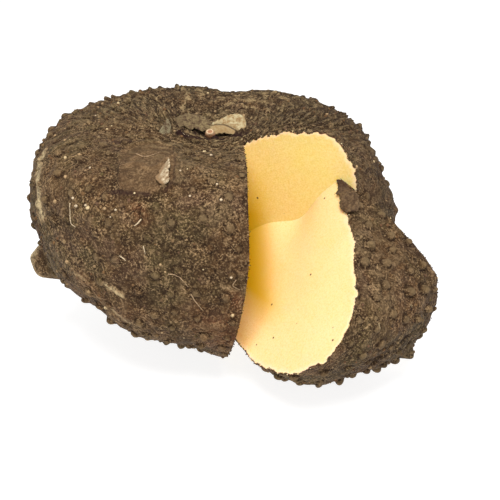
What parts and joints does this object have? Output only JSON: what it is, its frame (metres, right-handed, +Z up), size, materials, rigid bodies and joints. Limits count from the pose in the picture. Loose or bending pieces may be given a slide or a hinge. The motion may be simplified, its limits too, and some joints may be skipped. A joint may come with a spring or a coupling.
{
  "type": "elephant foot yam",
  "caption": "Squat warty brown yam corm with a sunken crown, cut open by a deep notch that shows yellow flesh, and the cut wedge leaning in the notch.",
  "frame": {"origin": "on the flat spot that the corm rests on, under the corm's middle", "axes": "+Z up, +X to the right seen from the open side of the notch, +Y from the open side to the back"},
  "size_m": [0.2542, 0.2559, 0.1526],
  "materials": {
    "skin": "dry, earthy, warty brown skin",
    "flesh": "moist cut yellow flesh with a fine grain"
  },
  "bodies": {
    "root": {"corm": "skin", "cut_wedge": "flesh"}
  },
  "joints": []
}
